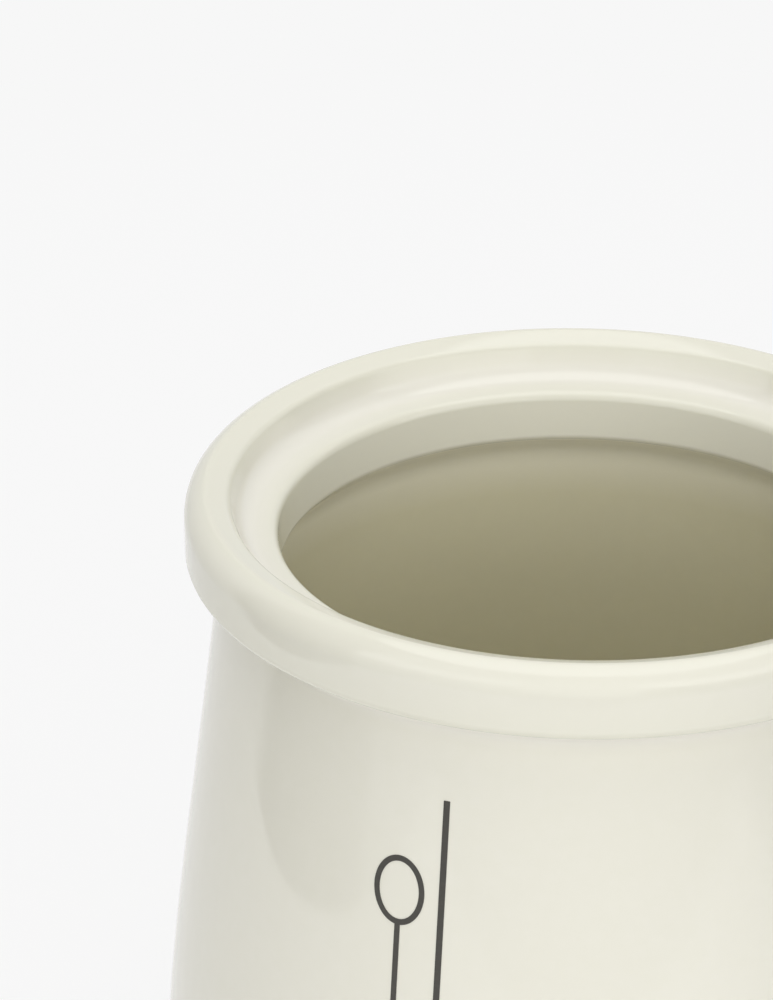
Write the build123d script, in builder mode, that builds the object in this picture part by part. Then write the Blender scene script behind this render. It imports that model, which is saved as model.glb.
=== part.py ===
from build123d import *
import os

os.makedirs("parts", exist_ok=True)

# Utensil crock of slip-cast stoneware, glazed inside and out, with a printed front.
# Millimetres. The origin is the centre of the foot, on the surface it stands on.
# The front is -Y. Sizes are those of the fired clay: the glaze adds its own thickness.

# Clay, rim and throat
height = 159.4              # foot to the crest of the rim
rim_radius = 61.6           # outside of the rim
rim_width = 6.2             # outside of the rim to its inner brow
crest_inset = 2.9           # outside of the rim to its crest
outer_fall = 1.5            # crest down to the outer shoulder, before it is rounded
inner_fall = 1.4            # crest down to the inner brow, before it is rounded
shoulder_round = 4.3
crest_round = 0.8
brow_round = 1.2
face_draft = 1.8            # how much narrower the rim's inner face is at the ledge
rim_depth = 10.7            # crest of the rim to its underside
lip_round = 1.4             # lower outer corner of the rim
rim_overhang = 5.6          # how far the rim stands out over the neck
neck_cove = 3.6             # hollow corner between the rim and the neck
ledge_drop = 6.3            # crest of the rim to the outer edge of the ledge
ledge_width = 5.8           # ledge inside the rim
ledge_fall = 0.6            # outer edge of the ledge to its lower, inner edge
ledge_cove = 4.0            # hollow corner between the rim and the ledge
ledge_round = 1.2           # inner edge of the ledge
throat_length = 7.6         # ledge to the lower edge of the throat
throat_draft = 0.3          # how much narrower the throat is at its lower edge
shelf_fall = 6.0            # slope of the throat's underside, out to the neck radius
shelf_cove = 3.0            # where that underside turns into the wall

# Clay, body and foot
belly_swell = 10.5          # how far the belly stands out beyond the neck
belly_height = 46.0         # widest place, above the foot
base_radius = 57.0          # where the belly curve ends
base_height = 5.0
base_round = 5.0
wall_thickness = 5.0
floor_thickness = 6.0
floor_round = 12.0          # inside corner between the wall and the floor
foot_radius = 54.0          # outside of the foot ring
foot_width = 4.5
foot_height = 2.2           # foot ring below the base
foot_round = 0.8
foot_cove = 0.8
neck_slope = 0.111          # radius gained for each millimetre down, at the neck
base_slope = 0.48           # radius lost for each millimetre down, at the base
neck_pull_share = 0.48      # how far the neck's slope holds, of the height from neck to belly
belly_rise_share = 0.28     # how far the belly stays upright above its widest place
belly_drop_share = 0.5      # and below it, of the height from belly to base
base_pull_share = 0.4       # how far the base's slope holds, of that height

# Glaze
glaze_thickness = 0.4
dry_margin = 0.6            # bare clay between the glaze and the foot ring

# Print, on the glaze: an upright rule with a spoon, a turner and a whisk beside it
ink_thickness = 0.08
ink_lift = 0.05             # clearance between the glaze and the ink
print_azimuth = -21.6       # degrees about +Z from the front
stroke_width = 0.9
rule_width = 1.0
rule_top_gap = 14.6         # rim underside to the top of the rule
rule_margin = 10.4          # rule beyond the figures, at each end
figure_length = 24.5
figure_width = 8.4
figure_gap = 4.0            # from one figure to the next
figure_offset = 2.3         # rule to figures
bowl_length = 11.2          # of the spoon
blade_length = 10.4         # of the turner
blade_round = 1.6
slot_length = 5.6
slot_spacing = 2.4
loop_length = 15.0          # of the whisk
inner_loop_width = 3.8
grip_width = 2.2

cut_overrun = 10.0

# Places worked out from the sizes
rim_underside = height - rim_depth
shoulder_height = height - outer_fall
brow_height = height - inner_fall
crest_radius = rim_radius - crest_inset
brow_radius = rim_radius - rim_width
neck_radius = rim_radius - rim_overhang
belly_radius = neck_radius + belly_swell
ledge_radius = brow_radius - face_draft
ledge_height = height - ledge_drop
throat_radius = ledge_radius - ledge_width
throat_height = ledge_height - ledge_fall
throat_foot_radius = throat_radius - throat_draft
throat_foot_height = throat_height - throat_length
shelf_height = throat_foot_height - shelf_fall
floor_height = foot_height + floor_thickness
foot_inner_radius = foot_radius - foot_width
reach = rim_radius + belly_swell + cut_overrun


def flank(outset, top):
    """The body's outline from the neck to the base, moved out by a skin or, below zero, in by a wall."""
    upper = rim_underside - belly_height
    lower = belly_height - base_height
    neck_pull = neck_pull_share * upper
    base_pull = base_pull_share * lower
    Bezier(
        (neck_radius + outset, top),
        (neck_radius + neck_slope * neck_pull + outset, rim_underside - neck_pull),
        (belly_radius + outset, belly_height + belly_rise_share * upper),
        (belly_radius + outset, belly_height),
    )
    Bezier(
        (belly_radius + outset, belly_height),
        (belly_radius + outset, belly_height - belly_drop_share * lower),
        (base_radius + base_slope * base_pull + outset, base_height + base_pull),
        (base_radius + outset, base_height),
    )


def round_corner(place, radius):
    """Round the corner of the open section that lies nearest to a place."""
    fillet(vertices().sort_by_distance(place)[0], radius)


def crock_outline(skin):
    """Section of the crock, solid below its throat, with its surface moved out by a skin."""
    with BuildSketch(Plane.XZ) as section:
        with BuildLine():
            Polyline(
                (neck_radius + skin, rim_underside - skin),
                (rim_radius + skin, rim_underside - skin),
                (rim_radius + skin, shoulder_height + skin),
                (crest_radius, height + skin),
                (brow_radius - skin, brow_height + skin),
                (ledge_radius - skin, ledge_height + skin),
                (throat_radius - skin, throat_height + skin),
                (throat_foot_radius - skin, throat_foot_height),
                (0, throat_foot_height),
                (0, foot_height),
                (foot_inner_radius, foot_height),
                (foot_inner_radius, 0),
                (foot_radius + skin, 0),
                (foot_radius + skin, foot_height - skin),
                (base_radius + skin, base_height),
            )
            flank(skin, rim_underside - skin)
        make_face()
        round_corner((rim_radius + skin, rim_underside - skin), lip_round + skin)
        round_corner((neck_radius + skin, rim_underside - skin), neck_cove - skin)
        round_corner((rim_radius + skin, shoulder_height + skin), shoulder_round + skin)
        round_corner((crest_radius, height + skin), crest_round + skin)
        round_corner((brow_radius - skin, brow_height + skin), brow_round + skin)
        round_corner((ledge_radius - skin, ledge_height + skin), ledge_cove - skin)
        round_corner((throat_radius - skin, throat_height + skin), ledge_round + skin)
        round_corner((base_radius + skin, base_height), base_round + skin)
        round_corner((foot_radius + skin, foot_height - skin), foot_cove - skin)
        round_corner((foot_inner_radius, foot_height), foot_cove)
        round_corner((foot_radius + skin, 0), foot_round)
        round_corner((foot_inner_radius, 0), foot_round)
    return section


def hollow_outline(skin):
    """Section of the space below the throat, made smaller by a skin."""
    wall = wall_thickness + skin
    with BuildSketch(Plane.XZ) as section:
        with BuildLine():
            flank(-wall, rim_underside)
            Polyline(
                (neck_radius - wall, rim_underside),
                (neck_radius - wall, height),
                (0, height),
                (0, base_height),
                (base_radius - wall, base_height),
            )
        make_face()
        Polygon(
            (0, floor_height + skin),
            (reach, floor_height + skin),
            (reach, shelf_height - 2 * skin),
            (neck_radius, shelf_height - 2 * skin),
            (throat_foot_radius - skin, throat_foot_height),
            (0, throat_foot_height),
            align=None,
            mode=Mode.INTERSECT,
        )
        round_corner((neck_radius - wall, (throat_foot_height + shelf_height) / 2), shelf_cove - skin)
        round_corner((base_radius, floor_height + skin), floor_round - skin)
    return section


# Clay body: foot ring, floor, wall, throat, ledge and rim
crock_section = crock_outline(0)
hollow_section = hollow_outline(0)
with BuildSketch(Plane.XZ) as clay_section:
    add(crock_section.sketch_local)
    add(hollow_section.sketch_local, mode=Mode.SUBTRACT)

with BuildPart() as clay_body:
    revolve(clay_section.sketch, axis=Axis.Z)
clay_body.part.label = "clay_body"
export_step(clay_body.part, "parts/clay_body.step")

# Outer glaze: throat, ledge, rim and flank, down to just above the foot ring
glazed_section = crock_outline(glaze_thickness)
with BuildSketch(Plane.XZ) as outer_glaze_section:
    add(glazed_section.sketch_local)
    add(crock_section.sketch_local, mode=Mode.SUBTRACT)
    with Locations((0, foot_height + dry_margin)):
        Rectangle(reach, height, align=(Align.MIN, Align.MIN), mode=Mode.INTERSECT)

with BuildPart() as outer_glaze:
    revolve(outer_glaze_section.sketch, axis=Axis.Z)
outer_glaze.part.label = "outer_glaze"
export_step(outer_glaze.part, "parts/outer_glaze.step")

# Liner glaze: everything inside, below the throat
lined_section = hollow_outline(glaze_thickness)
with BuildSketch(Plane.XZ) as liner_glaze_section:
    add(hollow_section.sketch_local)
    add(lined_section.sketch_local, mode=Mode.SUBTRACT)

with BuildPart() as liner_glaze:
    revolve(liner_glaze_section.sketch, axis=Axis.Z)
liner_glaze.part.label = "liner_glaze"
export_step(liner_glaze.part, "parts/liner_glaze.step")

# Base glaze: the pool of glaze inside the foot ring
with BuildPart() as base_glaze:
    with BuildSketch(Plane.XY.offset(foot_height)):
        Circle(foot_inner_radius - foot_cove - dry_margin)
    extrude(amount=-glaze_thickness)
base_glaze.part.label = "base_glaze"
export_step(base_glaze.part, "parts/base_glaze.step")

# Places of the prints on a plane through the axis that faces the rule: x across, y up
print_plane = Plane(
    origin=(0, 0, 0),
    x_dir=Vector(1, 0, 0).rotate(Axis.Z, print_azimuth),
    z_dir=Vector(0, -1, 0).rotate(Axis.Z, print_azimuth),
)
figure_count = 3
figure_pitch = figure_length + figure_gap
rule_length = 2 * rule_margin + figure_count * figure_pitch - figure_gap
rule_top = rim_underside - rule_top_gap
figure_x = -(rule_width / 2 + figure_offset + figure_width / 2)
figure_tops = [rule_top - rule_margin - index * figure_pitch for index in range(figure_count)]
spoon_top, turner_top, whisk_top = figure_tops

# Ink skin that every print is cut from: it follows the glazed flank
ink_band_height = rule_length + 2 * stroke_width
ink_base_section = crock_outline(glaze_thickness + ink_lift)
ink_top_section = crock_outline(glaze_thickness + ink_lift + ink_thickness)
with BuildSketch(Plane.XZ) as ink_section:
    add(ink_top_section.sketch_local)
    add(ink_base_section.sketch_local, mode=Mode.SUBTRACT)
    with Locations((0, rule_top - rule_length / 2)):
        Rectangle(reach, ink_band_height, align=(Align.MIN, Align.CENTER), mode=Mode.INTERSECT)

with BuildPart() as ink_skin:
    revolve(ink_section.sketch, axis=Axis.Z)


def handle(top, head_length, width):
    """Upright bar from inside the lower edge of a figure's head to the figure's foot."""
    length = figure_length - head_length + stroke_width / 2
    with Locations((figure_x, top - figure_length + length / 2)):
        SlotOverall(length, width, rotation=90)


with BuildPart() as printed_rule:
    add(ink_skin.part)
    with BuildSketch(print_plane):
        with Locations((0, rule_top - rule_length / 2)):
            Rectangle(rule_width, rule_length)
    extrude(amount=reach, mode=Mode.INTERSECT)
printed_rule.part.label = "printed_rule"
export_step(printed_rule.part, "parts/printed_rule.step")

with BuildPart() as printed_spoon:
    add(ink_skin.part)
    with BuildSketch(print_plane):
        with Locations((figure_x, spoon_top - bowl_length / 2)):
            Ellipse(figure_width / 2, bowl_length / 2)
            Ellipse(figure_width / 2 - stroke_width, bowl_length / 2 - stroke_width, mode=Mode.SUBTRACT)
        handle(spoon_top, bowl_length, stroke_width)
    extrude(amount=reach, mode=Mode.INTERSECT)
printed_spoon.part.label = "printed_spoon"
export_step(printed_spoon.part, "parts/printed_spoon.step")

with BuildPart() as printed_turner:
    add(ink_skin.part)
    with BuildSketch(print_plane):
        with Locations((figure_x, turner_top - blade_length / 2)):
            RectangleRounded(figure_width, blade_length, blade_round)
            RectangleRounded(
                figure_width - 2 * stroke_width,
                blade_length - 2 * stroke_width,
                blade_round - stroke_width / 2,
                mode=Mode.SUBTRACT,
            )
        with Locations((figure_x, turner_top - blade_length + slot_length / 2 + stroke_width / 2)):
            with GridLocations(slot_spacing, 0, 2, 1):
                SlotOverall(slot_length, stroke_width, rotation=90)
        handle(turner_top, blade_length, stroke_width)
    extrude(amount=reach, mode=Mode.INTERSECT)
printed_turner.part.label = "printed_turner"
export_step(printed_turner.part, "parts/printed_turner.step")

with BuildPart() as printed_whisk:
    add(ink_skin.part)
    with BuildSketch(print_plane):
        with Locations((figure_x, whisk_top - loop_length / 2)):
            Ellipse(figure_width / 2, loop_length / 2)
            Ellipse(figure_width / 2 - stroke_width, loop_length / 2 - stroke_width, mode=Mode.SUBTRACT)
        with BuildSketch(mode=Mode.PRIVATE) as inner_loop:
            Ellipse(inner_loop_width / 2, loop_length / 2 - stroke_width / 2)
            Ellipse(
                inner_loop_width / 2 - stroke_width,
                loop_length / 2 - stroke_width * 1.5,
                mode=Mode.SUBTRACT,
            )
        with Locations((figure_x, whisk_top - loop_length / 2)):
            add(inner_loop.sketch_local)
        handle(whisk_top, loop_length, grip_width)
    extrude(amount=reach, mode=Mode.INTERSECT)
printed_whisk.part.label = "printed_whisk"
export_step(printed_whisk.part, "parts/printed_whisk.step")
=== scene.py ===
import math

import bmesh
import bpy
import numpy as np
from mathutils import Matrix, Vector


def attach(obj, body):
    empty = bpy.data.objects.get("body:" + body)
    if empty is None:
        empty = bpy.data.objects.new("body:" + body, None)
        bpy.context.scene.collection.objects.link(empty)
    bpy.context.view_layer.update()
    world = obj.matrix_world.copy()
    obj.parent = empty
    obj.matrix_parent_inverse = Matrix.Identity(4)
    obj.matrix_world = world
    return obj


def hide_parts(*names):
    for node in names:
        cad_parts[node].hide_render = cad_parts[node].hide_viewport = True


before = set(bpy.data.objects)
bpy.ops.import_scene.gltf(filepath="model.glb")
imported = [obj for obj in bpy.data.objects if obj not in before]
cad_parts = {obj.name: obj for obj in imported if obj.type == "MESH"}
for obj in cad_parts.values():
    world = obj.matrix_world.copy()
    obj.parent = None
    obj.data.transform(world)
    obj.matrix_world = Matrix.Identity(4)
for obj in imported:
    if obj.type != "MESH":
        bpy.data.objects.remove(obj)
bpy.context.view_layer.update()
print("crock: frame loaded, nodes", sorted(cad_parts))

mm = 0.001


# Camera: a long lens from above the front, on the mouth

cameraLook = {
    "place": (-30.35 * mm, -623.04 * mm, 467.82 * mm),
    "tilt": 63.476,            # degrees up from straight down
    "lens": 160.35,            # for a frame 36 mm high
    "frameHeight": 36.0,
    "nearest": 10 * mm,
    "farthest": 50.0,
}


def makeCamera(look):
    data = bpy.data.cameras.new("camera")
    data.sensor_fit = "VERTICAL"
    data.sensor_height = look["frameHeight"]
    data.lens = look["lens"]
    data.clip_start = look["nearest"]
    data.clip_end = look["farthest"]
    camera = bpy.data.objects.new("camera", data)
    camera.location = look["place"]
    camera.rotation_euler = (math.radians(look["tilt"]), 0, 0)
    bpy.context.scene.collection.objects.link(camera)
    bpy.context.scene.camera = camera


makeCamera(cameraLook)
bpy.context.scene.view_settings.view_transform = "Standard"
print("crock: camera set")


# Sections: lists of (radius, height) in metres

crock = {                      # sizes of the fired clay
    "height": 159.4 * mm,
    "rimRadius": 61.6 * mm,
    "rimWidth": 6.2 * mm,
    "crestInset": 2.9 * mm,
    "outerFall": 1.5 * mm,
    "innerFall": 1.4 * mm,
    "shoulderRound": 4.3 * mm,
    "crestRound": 0.8 * mm,
    "browRound": 1.2 * mm,
    "faceDraft": 1.8 * mm,     # how much narrower the inner face is at the ledge
    "rimDepth": 10.7 * mm,
    "lipRound": 1.4 * mm,
    "rimOverhang": 5.6 * mm,
    "neckCove": 3.6 * mm,
    "ledgeDrop": 6.3 * mm,
    "ledgeWidth": 5.8 * mm,
    "ledgeFall": 0.6 * mm,
    "ledgeCove": 4.0 * mm,
    "ledgeRound": 1.2 * mm,
    "throatLength": 7.6 * mm,
    "throatDraft": 0.3 * mm,
    "throatRound": 1.0 * mm,   # the glaze rounds the throat's lower edge
    "shelfFall": 6.0 * mm,
    "shelfCove": 3.0 * mm,
    "bellySwell": 10.5 * mm,
    "bellyHeight": 46.0 * mm,
    "baseRadius": 57.0 * mm,
    "baseHeight": 5.0 * mm,
    "baseRound": 5.0 * mm,
    "wall": 5.0 * mm,
    "floor": 6.0 * mm,
    "floorRound": 12.0 * mm,
    "footRadius": 54.0 * mm,
    "footWidth": 4.5 * mm,
    "footHeight": 2.2 * mm,
    "footCove": 0.8 * mm,
    "neckSlope": 0.111,
    "baseSlope": 0.48,
    "neckPull": 0.48,          # shares of the height from neck to belly
    "bellyRise": 0.28,
    "bellyDrop": 0.5,          # shares of the height from belly to base
    "basePull": 0.4,
}

glaze = {
    "thickness": 0.4 * mm,
    "dryMargin": 0.6 * mm,     # bare clay above the foot ring
    "bead": 0.25 * mm,         # rounding of a coat's edge
    "turnUnder": 0.85 * mm,    # how far the outer coat runs on below the throat's edge
    "joinBead": 0.1 * mm,      # rounding of both coats where they meet there
    "pool": 5.5 * mm,          # how much rounder the liner leaves the corner below the throat
    "arcStep": 6.0,            # degrees from point to point round a corner
    "backStep": 20.0,          # the same on the side that lies on the clay
    "flankSteps": 30,          # from the neck to the belly, half as many below it
    "wallFiner": 3,            # the inner wall is looked up on a line this much finer
    "footPoints": 6,           # the last points of the outline, near the foot
    "turns": 288,              # faces around
    "weld": 0.0001 * mm,
    "hollowReach": 1.5 * mm,   # how far each way a point looks for a hollow or an edge
}

underside = crock["height"] - crock["rimDepth"]
neckRadius = crock["rimRadius"] - crock["rimOverhang"]
bellyRadius = neckRadius + crock["bellySwell"]
browRadius = crock["rimRadius"] - crock["rimWidth"]
crestRadius = crock["rimRadius"] - crock["crestInset"]
ledgeHeight = crock["height"] - crock["ledgeDrop"]
ledgeRadius = browRadius - crock["faceDraft"]
throatRadius = ledgeRadius - crock["ledgeWidth"]
throatHeight = ledgeHeight - crock["ledgeFall"]
throatFootRadius = throatRadius - crock["throatDraft"]
throatFootHeight = throatHeight - crock["throatLength"]
floorHeight = crock["footHeight"] + crock["floor"]
footInnerRadius = crock["footRadius"] - crock["footWidth"]


def curve(a, b, c, d, steps):
    t = np.linspace(0, 1, steps + 1)[:, None]
    a, b, c, d = (np.array(p) for p in (a, b, c, d))
    return (1 - t) ** 3 * a + 3 * (1 - t) ** 2 * t * b + 3 * (1 - t) * t ** 2 * c + t ** 3 * d


def flank(outset, steps):      # from the neck down to the base
    upper = underside - crock["bellyHeight"]
    lower = crock["bellyHeight"] - crock["baseHeight"]
    neckPull = crock["neckPull"] * upper
    basePull = crock["basePull"] * lower
    belly = (bellyRadius + outset, crock["bellyHeight"])
    above = curve(
        (neckRadius + outset, underside),
        (neckRadius + crock["neckSlope"] * neckPull + outset, underside - neckPull),
        (belly[0], belly[1] + crock["bellyRise"] * upper),
        belly,
        steps,
    )
    below = curve(
        belly,
        (belly[0], belly[1] - crock["bellyDrop"] * lower),
        (
            crock["baseRadius"] + crock["baseSlope"] * basePull + outset,
            crock["baseHeight"] + basePull,
        ),
        (crock["baseRadius"] + outset, crock["baseHeight"]),
        steps // 2,
    )
    return [tuple(p) for p in above] + [tuple(p) for p in below[1:]]


def arc(before, corner, after, radius, step):
    corner = Vector(corner)
    a = (Vector(before) - corner).normalized()
    b = (Vector(after) - corner).normalized()
    half = a.angle(b) / 2
    centre = corner + (a + b).normalized() * radius / math.sin(half)
    start = corner + a * radius / math.tan(half) - centre
    turn = math.pi - 2 * half
    way = 1 if a.x * b.y - a.y * b.x < 0 else -1
    count = max(2, math.ceil(math.degrees(turn) / step))
    points = []
    for i in range(count + 1):
        angle = way * turn * i / count
        c, s = math.cos(angle), math.sin(angle)
        x = centre.x + c * start.x - s * start.y
        points.append((x, centre.y + s * start.x + c * start.y))
    return points


# a corner is (radius, height), or (radius, height, rounding)
def rounded(corners, step, closed=False):
    points = []
    last = len(corners) - 1
    for i, corner in enumerate(corners):
        if len(corner) == 2 or not closed and i in (0, last):
            points.append(tuple(corner[:2]))
        else:
            after = corners[0] if i == last else corners[i + 1]
            points += arc(corners[i - 1][:2], corner[:2], after[:2], corner[2], step)
    return points


def crossing(line, height):    # radius where a falling line of points passes a height
    for a, b in zip(line, line[1:]):
        if b[1] <= height <= a[1]:
            return a[0] + (b[0] - a[0]) * (a[1] - height) / (a[1] - b[1])


def shelfOf(skin):             # the throat's lower edge, the way on, and where the coats meet
    edge = (throatFootRadius - skin, throatFootHeight)
    slope = (neckRadius - throatFootRadius + skin, -crock["shelfFall"] - skin)
    turn = glaze["turnUnder"] / math.hypot(*slope)
    return edge, slope, (edge[0] + slope[0] * turn, edge[1] + slope[1] * turn)


def outsideOf(skin, step):     # throat, ledge, rim and flank, down to the foot
    edge, _, meeting = shelfOf(skin)
    top = crock["height"]
    rim = crock["rimRadius"] + skin
    foot = (crock["footRadius"] + skin, crock["footHeight"] - skin)
    return rounded(
        [
            meeting,
            (*edge, crock["throatRound"] + skin),
            (throatRadius - skin, throatHeight + skin, crock["ledgeRound"] + skin),
            (ledgeRadius - skin, ledgeHeight + skin, crock["ledgeCove"] - skin),
            (browRadius - skin, top - crock["innerFall"] + skin, crock["browRound"] + skin),
            (crestRadius, top + skin, crock["crestRound"] + skin),
            (rim, top - crock["outerFall"] + skin, crock["shoulderRound"] + skin),
            (rim, underside - skin, crock["lipRound"] + skin),
            (neckRadius + skin, underside - skin, crock["neckCove"] - skin),
            *flank(skin, glaze["flankSteps"])[1:-1],
            (crock["baseRadius"] + skin, crock["baseHeight"], crock["baseRound"] + skin),
            foot,
        ],
        step,
    )


def insideOf(skin, step):      # below the throat: shelf, wall and floor, to the axis
    edge, slope, meeting = shelfOf(skin)
    wall = flank(-crock["wall"] - skin, glaze["wallFiner"] * glaze["flankSteps"])
    # k is the first point of the wall below the shelf
    k = [p[1] < edge[1] + slope[1] * (p[0] - edge[0]) / slope[0] for p in wall].index(True)
    corner = (*wall[k], crock["shelfCove"] - skin + (glaze["pool"] if skin else 0))
    # the floor's rounding touches both the wall and the floor
    level = floorHeight + skin
    radius = crock["floorRound"] - skin
    for j in range(len(wall) - 2, 0, -1):
        rise = wall[j + 1][1] - wall[j - 1][1]
        run = wall[j - 1][0] - wall[j + 1][0]
        centre = Vector(wall[j]) + Vector((rise, run)).normalized() * radius
        if centre.y > level + radius:
            break
    sweep = math.pi / 2 + math.atan2(wall[j][1] - centre.y, wall[j][0] - centre.x)
    count = math.ceil(math.degrees(sweep) / step)
    toe = [sweep * i / count - math.pi / 2 for i in range(count, -1, -1)]
    toe = [(centre.x + radius * math.cos(a), level + radius + radius * math.sin(a)) for a in toe]
    clear = crock["shelfCove"] + glaze["pool"]
    between = [p for p in wall[k:j] if p[1] < corner[1] - clear][:: glaze["wallFiner"]]
    return rounded([meeting, corner, *between, *toe, (0, level)], step)


def downTo(line, level):       # an outline cut off at a height above the foot ring
    tail = line[-glaze["footPoints"]:]
    kept = line[:-glaze["footPoints"]] + [p for p in tail if p[1] > level]
    return kept + [(crossing(tail, level), level)]


def coatOutside():             # a closed loop: the glaze's face, then back along the clay
    level = crock["footHeight"] + glaze["dryMargin"]
    face = downTo(outsideOf(glaze["thickness"], glaze["arcStep"]), level)
    back = downTo(outsideOf(0, glaze["backStep"]), level)
    face[0] = (*face[0], glaze["joinBead"])
    face[-1] = (*face[-1], glaze["bead"])
    return rounded(face + back[::-1], glaze["arcStep"], closed=True)


def coatInside():              # from the axis out along the clay, and back to it on the glaze
    back = insideOf(0, glaze["backStep"])
    face = insideOf(glaze["thickness"], glaze["arcStep"])
    face[0] = (*face[0], glaze["joinBead"])
    return rounded(back[::-1] + face, glaze["arcStep"])


def coatBase():                # the pool of glaze inside the foot ring
    high = crock["footHeight"]
    low = high - glaze["thickness"]
    edge = footInnerRadius - crock["footCove"] - glaze["dryMargin"]
    bead = glaze["bead"]
    corners = [(0, low), (edge / 2, low), (edge, low, bead), (edge, high), (0, high)]
    return rounded(corners, glaze["arcStep"])


def hollowness(points, reach):         # above 0 in a hollow, below 0 on an edge
    p = np.array(points)
    step = np.linalg.norm(np.diff(p, axis=0), axis=1)
    along = np.concatenate([[0], np.cumsum(step)])
    ahead = np.column_stack([np.interp(along + reach, along, p[:, i]) for i in (0, 1)])
    behind = np.column_stack([np.interp(along - reach, along, p[:, i]) for i in (0, 1)])
    way = ahead - behind
    way /= np.linalg.norm(way, axis=1)[:, None] + 1e-12
    bend = (ahead + behind) / 2 - p
    value = (bend[:, 0] * way[:, 1] - bend[:, 1] * way[:, 0]) / reach
    ends = (along < reach) | (along > along[-1] - reach)
    value[ends] = 0
    return value


# Nodes

def calculated(tree, operation, *values):      # a Math node on numbers and sockets
    made = tree.nodes.new("ShaderNodeMath")
    made.operation = operation
    for socket, value in zip(made.inputs, values):
        if hasattr(value, "links"):
            tree.links.new(value, socket)
        else:
            socket.default_value = value
    return made.outputs[0]


# Geometry Nodes: a section turned about the axis

def turnedTree():
    tree = bpy.data.node_groups.new("turned form", "GeometryNodeTree")
    face = tree.interface
    face.new_socket("Section", in_out="INPUT", socket_type="NodeSocketGeometry")
    turns = face.new_socket("Turns", in_out="INPUT", socket_type="NodeSocketInt")
    turns.default_value = glaze["turns"]
    weld = face.new_socket("Weld", in_out="INPUT", socket_type="NodeSocketFloat")
    weld.default_value = glaze["weld"]
    face.new_socket("Finish", in_out="INPUT", socket_type="NodeSocketMaterial")
    face.new_socket("Form", in_out="OUTPUT", socket_type="NodeSocketGeometry")
    nodes, links = tree.nodes, tree.links

    def node(kind, **settings):
        made = nodes.new(kind)
        for key, value in settings.items():
            setattr(made, key, value)
        return made

    given = node("NodeGroupInput").outputs
    size = node("GeometryNodeAttributeDomainSize", component="MESH")
    links.new(given["Section"], size.inputs[0])
    rows = size.outputs["Point Count"]
    grid = node("GeometryNodeMeshGrid")
    links.new(calculated(tree, "ADD", given["Turns"], 1), grid.inputs["Vertices X"])
    links.new(rows, grid.inputs["Vertices Y"])
    index = node("GeometryNodeInputIndex").outputs[0]
    row = calculated(tree, "MODULO", index, rows)
    column = calculated(tree, "FLOOR", calculated(tree, "DIVIDE", index, rows))
    part = calculated(tree, "DIVIDE", column, given["Turns"])
    angle = calculated(tree, "MULTIPLY", part, 2 * math.pi)

    place = node("GeometryNodeSampleIndex", data_type="FLOAT_VECTOR", domain="POINT")
    links.new(given["Section"], place.inputs["Geometry"])
    links.new(node("GeometryNodeInputPosition").outputs[0], place.inputs["Value"])
    links.new(row, place.inputs["Index"])
    turned = node("ShaderNodeVectorRotate", rotation_type="Z_AXIS")
    links.new(place.outputs[0], turned.inputs["Vector"])
    links.new(angle, turned.inputs["Angle"])
    moved = node("GeometryNodeSetPosition")
    links.new(grid.outputs["Mesh"], moved.inputs["Geometry"])
    links.new(turned.outputs[0], moved.inputs["Position"])

    named = node("GeometryNodeInputNamedAttribute", data_type="FLOAT")
    named.inputs["Name"].default_value = "hollow"
    depth = node("GeometryNodeSampleIndex", data_type="FLOAT", domain="POINT")
    links.new(given["Section"], depth.inputs["Geometry"])
    links.new(named.outputs["Attribute"], depth.inputs["Value"])
    links.new(row, depth.inputs["Index"])
    kept = node("GeometryNodeStoreNamedAttribute", data_type="FLOAT", domain="POINT")
    kept.inputs["Name"].default_value = "hollow"
    links.new(moved.outputs[0], kept.inputs["Geometry"])
    links.new(depth.outputs[0], kept.inputs["Value"])
    charted = node("GeometryNodeStoreNamedAttribute", data_type="FLOAT2", domain="CORNER")
    charted.inputs["Name"].default_value = "UVMap"
    links.new(kept.outputs[0], charted.inputs["Geometry"])
    links.new(grid.outputs["UV Map"], charted.inputs["Value"])

    welded = node("GeometryNodeMergeByDistance")
    links.new(charted.outputs[0], welded.inputs["Geometry"])
    links.new(given["Weld"], welded.inputs["Distance"])
    smooth = node("GeometryNodeSetShadeSmooth")
    links.new(welded.outputs[0], smooth.inputs["Geometry"])
    real = node("GeometryNodeRealizeInstances")
    links.new(smooth.outputs[0], real.inputs[0])
    finish = node("GeometryNodeSetMaterial")
    links.new(real.outputs[0], finish.inputs["Geometry"])
    links.new(given["Finish"], finish.inputs["Material"])
    links.new(finish.outputs[0], node("NodeGroupOutput").inputs[0])
    return tree


def turnedPiece(name, points, finish, replaced, closed=False):
    if closed:
        points = points + points[:1]
    mesh = bpy.data.meshes.new(name)
    edges = [(i, i + 1) for i in range(len(points) - 1)]
    mesh.from_pydata([(r, 0, z) for r, z in points], edges, [])
    hollow = mesh.attributes.new("hollow", "FLOAT", "POINT")
    hollow.data.foreach_set("value", hollowness(points, glaze["hollowReach"]))
    piece = bpy.data.objects.new(name, mesh)
    bpy.context.scene.collection.objects.link(piece)
    modifier = piece.modifiers.new("turned form", "NODES")
    modifier.node_group = turnedForm
    inputs = [s for s in turnedForm.interface.items_tree if s.in_out == "INPUT"]
    sockets = {s.name: s.identifier for s in inputs}
    modifier[sockets["Turns"]] = glaze["turns"]
    modifier[sockets["Finish"]] = finish
    made = piece.evaluated_get(bpy.context.evaluated_depsgraph_get())
    solid = bpy.data.meshes.new_from_object(made)
    piece.modifiers.clear()
    piece.data = solid
    work = bmesh.new()
    work.from_mesh(solid)
    volume = work.calc_volume(signed=True)
    if volume < 0:
        bmesh.ops.reverse_faces(work, faces=work.faces)
        work.to_mesh(solid)
    work.free()
    print(f"crock: {name} has {len(solid.polygons)} faces, {abs(volume) / mm ** 3:.0f} mm3")
    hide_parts(replaced)
    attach(piece, "root")


# Finishes

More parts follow.
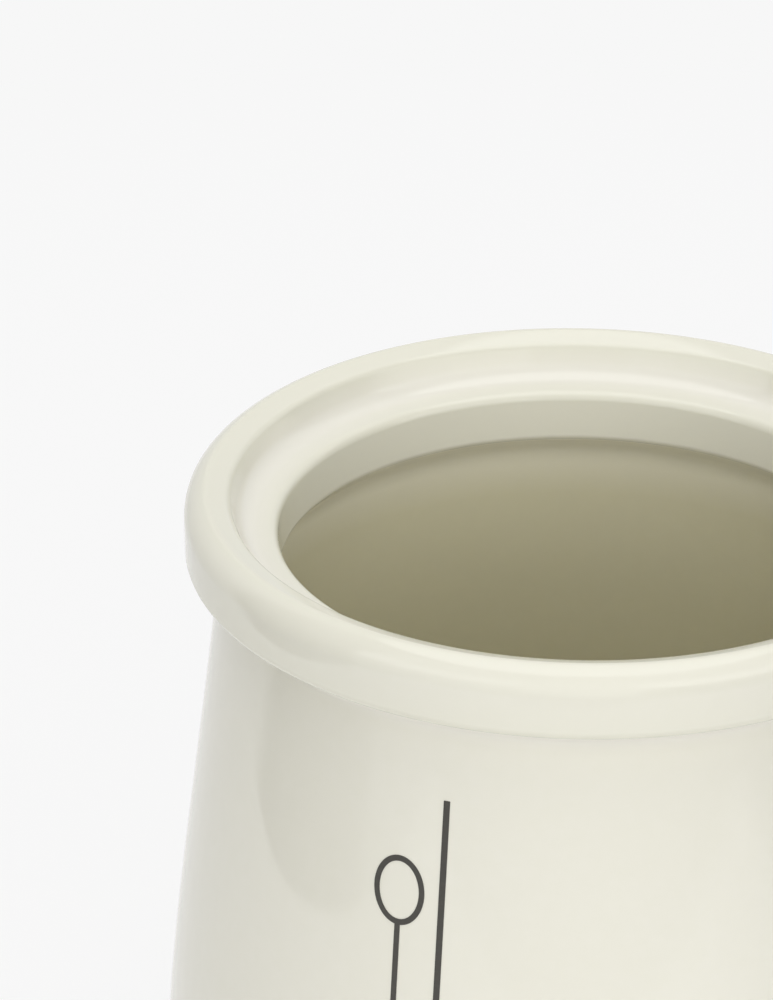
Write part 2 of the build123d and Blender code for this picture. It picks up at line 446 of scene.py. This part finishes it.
def newMaterial(name):
    material = bpy.data.materials.new(name)
    material.use_nodes = True
    tree = material.node_tree
    tree.nodes.clear()
    shader = tree.nodes.new("ShaderNodeBsdfPrincipled")
    output = tree.nodes.new("ShaderNodeOutputMaterial")
    tree.links.new(shader.outputs[0], output.inputs["Surface"])
    where = tree.nodes.new("ShaderNodeTexCoord").outputs["Object"]
    return material, tree, shader, where


def noise(tree, where, perMetre, detail, roughness=0.5):
    made = tree.nodes.new("ShaderNodeTexNoise")
    made.inputs["Scale"].default_value = perMetre
    made.inputs["Detail"].default_value = detail
    made.inputs["Roughness"].default_value = roughness
    tree.links.new(where, made.inputs["Vector"])
    return made.outputs["Fac"]


def mapped(tree, value, low, high, toLow, toHigh):
    made = tree.nodes.new("ShaderNodeMapRange")
    made.inputs["From Min"].default_value = low
    made.inputs["From Max"].default_value = high
    made.inputs["To Min"].default_value = toLow
    made.inputs["To Max"].default_value = toHigh
    tree.links.new(value, made.inputs["Value"])
    return made.outputs["Result"]


def blended(tree, share, a, b):        # a and b are colours or sockets
    made = tree.nodes.new("ShaderNodeMix")
    made.data_type = "RGBA"
    tree.links.new(share, made.inputs["Factor"])
    for socket, value in zip(made.inputs[6:8], (a, b)):        # the colour inputs
        if hasattr(value, "links"):
            tree.links.new(value, socket)
        else:
            socket.default_value = (*value, 1)
    return made.outputs[2]


def bumped(tree, height, depth, before=None):
    made = tree.nodes.new("ShaderNodeBump")
    made.inputs["Distance"].default_value = depth
    tree.links.new(height, made.inputs["Height"])
    if before:
        tree.links.new(before, made.inputs["Normal"])
    return made.outputs["Normal"]


glazeLook = {
    "body": (0.830, 0.812, 0.716),
    "pooled": (0.800, 0.786, 0.672),       # where it lies thick in a hollow
    "thin": (0.850, 0.828, 0.748),         # where it draws off an edge
    "drift": (0.820, 0.801, 0.702),        # slow clouding across the surface
    "hollowRange": (0.02, 0.3),            # from a faint hollow or edge to a full one
    "driftPerMetre": 22.0,
    "driftRange": (0.35, 0.7),
    "mottlePerMetre": 420.0,
    "mottleRange": (0.3, 0.7),
    "mottleShare": 0.25,
    "roughness": 0.045,
    "ior": 1.5,
    "ripplePerMetre": 55.0,                # the long waves of a dipped coat
    "rippleDepth": 0.035 * mm,
    "peelPerMetre": 650.0,                 # fine orange peel
    "peelDepth": 0.0022 * mm,
}


def makeGlaze(name, look):
    material, tree, shader, where = newMaterial(name)
    hollow = tree.nodes.new("ShaderNodeAttribute")
    hollow.attribute_name = "hollow"
    faint, full = look["hollowRange"]
    pooled = mapped(tree, hollow.outputs["Fac"], faint, full, 0, 1)
    thin = mapped(tree, hollow.outputs["Fac"], -faint, -full, 0, 1)
    clouds = mapped(tree, noise(tree, where, look["driftPerMetre"], 2), *look["driftRange"], 0, 1)
    fine = noise(tree, where, look["mottlePerMetre"], 2)
    mottle = mapped(tree, fine, *look["mottleRange"], 0, look["mottleShare"])
    colour = blended(tree, clouds, look["body"], look["drift"])
    colour = blended(tree, mottle, colour, look["pooled"])
    colour = blended(tree, pooled, colour, look["pooled"])
    colour = blended(tree, thin, colour, look["thin"])
    # the inner wall blends paler towards its top: painted light from the mouth
    if "paintedMouthLight" in look:
        split = tree.nodes.new("ShaderNodeSeparateXYZ")
        tree.links.new(where, split.inputs[0])
        paintedMouthLight = mapped(tree, split.outputs["Z"], *look["paintedLightHeights"], 0, 1)
        colour = blended(tree, paintedMouthLight, colour, look["paintedMouthLight"])
    tree.links.new(colour, shader.inputs["Base Color"])
    shader.inputs["Roughness"].default_value = look["roughness"]
    shader.inputs["IOR"].default_value = look["ior"]
    normal = bumped(tree, noise(tree, where, look["ripplePerMetre"], 1), look["rippleDepth"])
    normal = bumped(tree, noise(tree, where, look["peelPerMetre"], 2), look["peelDepth"], normal)
    tree.links.new(normal, shader.inputs["Normal"])
    return material


# the liner is the cream glaze made darker and greener: painted shade of the crock's inside
shadedLinerLook = {
    **glazeLook,
    "body": (0.765, 0.730, 0.548),
    "pooled": (0.730, 0.695, 0.505),
    "thin": (0.790, 0.760, 0.620),
    "drift": (0.745, 0.710, 0.524),
    "paintedMouthLight": (0.880, 0.850, 0.720),       # paler towards the top of the inner wall: painted light from the mouth
    "paintedLightHeights": (132 * mm, 142 * mm),
    "roughness": 0.09,
    "rippleDepth": 0.06 * mm,
}

inkLook = {
    "body": (0.058, 0.054, 0.046),
    "worn": (0.082, 0.077, 0.066),         # where the print lies a little thin
    "grainPerMetre": 1500.0,
    "grainRange": (0.45, 0.75),
    "grainShare": 0.6,
    "patchPerMetre": 160.0,
    "patchRange": (0.4, 0.75),
    "roughness": 0.3,
    "grainDepth": 0.004 * mm,
}


def makeInk(name, look):
    material, tree, shader, where = newMaterial(name)
    fine = noise(tree, where, look["grainPerMetre"], 2)
    grain = mapped(tree, fine, *look["grainRange"], 0, look["grainShare"])
    patch = mapped(tree, noise(tree, where, look["patchPerMetre"], 2), *look["patchRange"], 0, 1)
    colour = blended(tree, grain, look["body"], look["worn"])
    colour = blended(tree, patch, colour, look["body"])
    tree.links.new(colour, shader.inputs["Base Color"])
    shader.inputs["Roughness"].default_value = look["roughness"]
    tree.links.new(bumped(tree, fine, look["grainDepth"]), shader.inputs["Normal"])
    return material


clayLook = {
    "body": (0.660, 0.590, 0.455),
    "pale": (0.740, 0.680, 0.555),
    "speck": (0.230, 0.150, 0.085),        # iron in the clay
    "rubbed": (0.480, 0.430, 0.345),       # the foot's face, greyed by use
    "cloudPerMetre": 45.0,
    "cloudRange": (0.35, 0.7),
    "grainPerMetre": 1700.0,
    "grainRange": (0.35, 0.65),
    "grainShare": 0.5,
    "specksPerMetre": 330.0,
    "speckRange": (0.16, 0.08),            # from the edge to the middle of a speck, in cells
    "fewRange": (0.72, 0.76),              # cells below this hold no speck
    "roughness": 0.82,
    "grainDepth": 0.05 * mm,
    "rubbedHeight": 0.5 * mm,
    "rubbedShare": 0.7,
}


def makeClay(name, look):
    material, tree, shader, where = newMaterial(name)
    grain = noise(tree, where, look["grainPerMetre"], 4, 0.6)
    clouds = mapped(tree, noise(tree, where, look["cloudPerMetre"], 3), *look["cloudRange"], 0, 1)
    colour = blended(tree, clouds, look["body"], look["pale"])
    grains = mapped(tree, grain, *look["grainRange"], 0, look["grainShare"])
    colour = blended(tree, grains, colour, look["body"])
    cells = tree.nodes.new("ShaderNodeTexVoronoi")
    cells.inputs["Scale"].default_value = look["specksPerMetre"]
    tree.links.new(where, cells.inputs["Vector"])
    dot = mapped(tree, cells.outputs["Distance"], *look["speckRange"], 0, 1)
    few = mapped(tree, cells.outputs["Color"], *look["fewRange"], 0, 1)
    colour = blended(tree, calculated(tree, "MULTIPLY", dot, few), colour, look["speck"])
    split = tree.nodes.new("ShaderNodeSeparateXYZ")
    tree.links.new(where, split.inputs[0])
    low = mapped(tree, split.outputs["Z"], look["rubbedHeight"], 0, 0, look["rubbedShare"])
    colour = blended(tree, low, colour, look["rubbed"])
    tree.links.new(colour, shader.inputs["Base Color"])
    shader.inputs["Roughness"].default_value = look["roughness"]
    tree.links.new(bumped(tree, grain, look["grainDepth"]), shader.inputs["Normal"])
    return material


creamGlaze = makeGlaze("cream glaze", glazeLook)
shadedLinerGlaze = makeGlaze("liner glaze with painted shade", shadedLinerLook)
charcoalInk = makeInk("charcoal ink", inkLook)
firedClay = makeClay("fired clay", clayLook)
print("crock: finishes made")


# Pieces

turnedForm = turnedTree()
turnedPiece("outerCoat", coatOutside(), creamGlaze, "outer_glaze", closed=True)
turnedPiece("linerCoat", coatInside(), shadedLinerGlaze, "liner_glaze")
turnedPiece("baseCoat", coatBase(), creamGlaze, "base_glaze")

for nodeName, finish in {
    "clay_body": firedClay,
    "printed_rule": charcoalInk,
    "printed_spoon": charcoalInk,
    "printed_turner": charcoalInk,
    "printed_whisk": charcoalInk,
}.items():
    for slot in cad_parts[nodeName].material_slots:
        slot.material = finish
print("crock: pieces dressed")


# Studio

studio = {
    "white": 0.930,                # the backdrop as the camera sees it
    "table": (-0.33, -0.36, 0.33, 2.0),        # left, front, right and back edges
    "tableColour": (0.86, 0.86, 0.86),
    "tableGlow": 0.98,             # what the table's own white adds to what the camera sees
    "glowShare": (0.75, 1.0),      # near the crock, where its shadow falls, and away from it
    "glowReach": (0.25, 0.60),
    "aim": (0, 0, 120 * mm),
}

# panels of light: left and right edges in degrees about the front, low and high edges
# in degrees above the level, the degrees over which the edges fade, and the radiance
panels = {
    "sweepLeft": (-200, -111, -95, 62, 8, 0.84),
    "sweepRight": (111, 200, -95, 62, 8, 0.84),
    "overhead": (-200, 200, 62, 95, 3, 1.83),
    "roomLeft": (-111, -66, -95, 62, 8, 0.09),
    "roomRight": (72, 111, -95, 62, 8, 0.03),
    "floorFront": (-66, 72, -95, -10, 3, 0.54),
    "leftLow": (-66, -18, -10, 12, 3, 0.64),
    "leftHigh": (-66, -18, 12, 32, 3, 1.34),
    "gap": (-18, 15, -10, 32, 3, 0.94),
    "rightLow": (15, 72, -10, 12, 3, 0.15),
    "rightHigh": (15, 72, 12, 32, 3, 1.58),
    "middle": (-66, 72, 32, 48, 3, 0.55),
    "upper": (-66, 72, 48, 62, 3, 0.35),
}

# lamps that fill the shade and show in no reflection: degrees about the front,
# degrees above the level, distance, width, height and brightness
lamps = {
    "lowFill": (0, 12, 1.2, 0.8, 0.5, 1.48),
    "highFill": (0, 40, 1.2, 0.8, 0.5, 1.32),
    "rightFill": (50, 25, 1.2, 0.8, 0.5, 0.54),
}


def seenRays(tree, rays):      # camera, glossy and transmission rays
    total = rays.outputs["Is Camera Ray"]
    for name in ("Is Glossy Ray", "Is Transmission Ray"):
        total = calculated(tree, "MAXIMUM", total, rays.outputs[name])
    return total


def makeTable(look):
    mesh = bpy.data.meshes.new("table")
    left, front, right, back = look["table"]
    corners = [(left, front, 0), (right, front, 0), (right, back, 0), (left, back, 0)]
    mesh.from_pydata(corners, [], [(0, 1, 2, 3)])
    table = bpy.data.objects.new("table", mesh)
    bpy.context.scene.collection.objects.link(table)
    material = bpy.data.materials.new("table")
    material.use_nodes = True
    tree = material.node_tree
    tree.nodes.clear()
    paint = tree.nodes.new("ShaderNodeBsdfDiffuse")
    paint.inputs["Color"].default_value = (*look["tableColour"], 1)
    where = tree.nodes.new("ShaderNodeTexCoord").outputs["Object"]
    away = tree.nodes.new("ShaderNodeVectorMath")
    away.operation = "LENGTH"
    tree.links.new(where, away.inputs[0])
    distance = away.outputs["Value"]
    share = mapped(tree, distance, *look["glowReach"], *look["glowShare"])
    light = mapped(tree, distance, *look["glowReach"], look["tableGlow"], look["white"])
    glow = tree.nodes.new("ShaderNodeEmission")
    tree.links.new(light, glow.inputs["Strength"])
    rays = tree.nodes.new("ShaderNodeLightPath")
    mix = tree.nodes.new("ShaderNodeMixShader")
    tree.links.new(calculated(tree, "MULTIPLY", seenRays(tree, rays), share), mix.inputs["Fac"])
    tree.links.new(paint.outputs[0], mix.inputs[1])
    tree.links.new(glow.outputs[0], mix.inputs[2])
    output = tree.nodes.new("ShaderNodeOutputMaterial")
    tree.links.new(mix.outputs[0], output.inputs["Surface"])
    mesh.materials.append(material)


def makeRoom(look):            # the light that comes from each direction
    world = bpy.data.worlds.new("room")
    world.use_nodes = True
    bpy.context.scene.world = world
    tree = world.node_tree
    tree.nodes.clear()
    way = tree.nodes.new("ShaderNodeSeparateXYZ")
    tree.links.new(tree.nodes.new("ShaderNodeTexCoord").outputs["Generated"], way.inputs[0])
    x, y, z = way.outputs
    front = calculated(tree, "MULTIPLY", y, -1)
    azimuth = calculated(tree, "DEGREES", calculated(tree, "ARCTAN2", x, front))
    elevation = calculated(tree, "DEGREES", calculated(tree, "ARCSINE", z))

    def within(angle, low, high, softness):
        rise = mapped(tree, angle, low - softness / 2, low + softness / 2, 0, 1)
        fall = mapped(tree, angle, high - softness / 2, high + softness / 2, 1, 0)
        return calculated(tree, "MULTIPLY", rise, fall)

    light = 0.0
    for left, right, low, high, softness, radiance in panels.values():
        across = within(azimuth, left, right, softness)
        up = within(elevation, low, high, softness)
        share = calculated(tree, "MULTIPLY", across, up)
        light = calculated(tree, "MULTIPLY_ADD", share, radiance, light)
    seen = tree.nodes.new("ShaderNodeMapRange")
    rays = tree.nodes.new("ShaderNodeLightPath")
    tree.links.new(rays.outputs["Is Camera Ray"], seen.inputs["Value"])
    tree.links.new(light, seen.inputs["To Min"])
    seen.inputs["To Max"].default_value = look["white"]
    sky = tree.nodes.new("ShaderNodeBackground")
    tree.links.new(seen.outputs["Result"], sky.inputs["Strength"])
    sky.inputs["Color"].default_value = (1, 1, 1, 1)
    output = tree.nodes.new("ShaderNodeOutputWorld")
    tree.links.new(sky.outputs[0], output.inputs["Surface"])


def makeLamp(name, azimuth, elevation, distance, width, height, brightness):
    data = bpy.data.lights.new(name, "AREA")
    data.shape = "RECTANGLE"
    data.size = width
    data.size_y = height
    data.energy = brightness * math.pi * width * height
    lamp = bpy.data.objects.new(name, data)
    turn, lift = math.radians(azimuth), math.radians(elevation)
    flat = math.cos(lift)
    away = Vector((math.sin(turn) * flat, -math.cos(turn) * flat, math.sin(lift)))
    lamp.location = Vector(studio["aim"]) + away * distance
    lamp.rotation_euler = away.to_track_quat("Z", "Y").to_euler()
    lamp.visible_camera = False
    lamp.visible_glossy = False
    bpy.context.scene.collection.objects.link(lamp)


makeTable(studio)
makeRoom(studio)
for name, setting in lamps.items():
    makeLamp(name, *setting)
print("crock: studio lit")
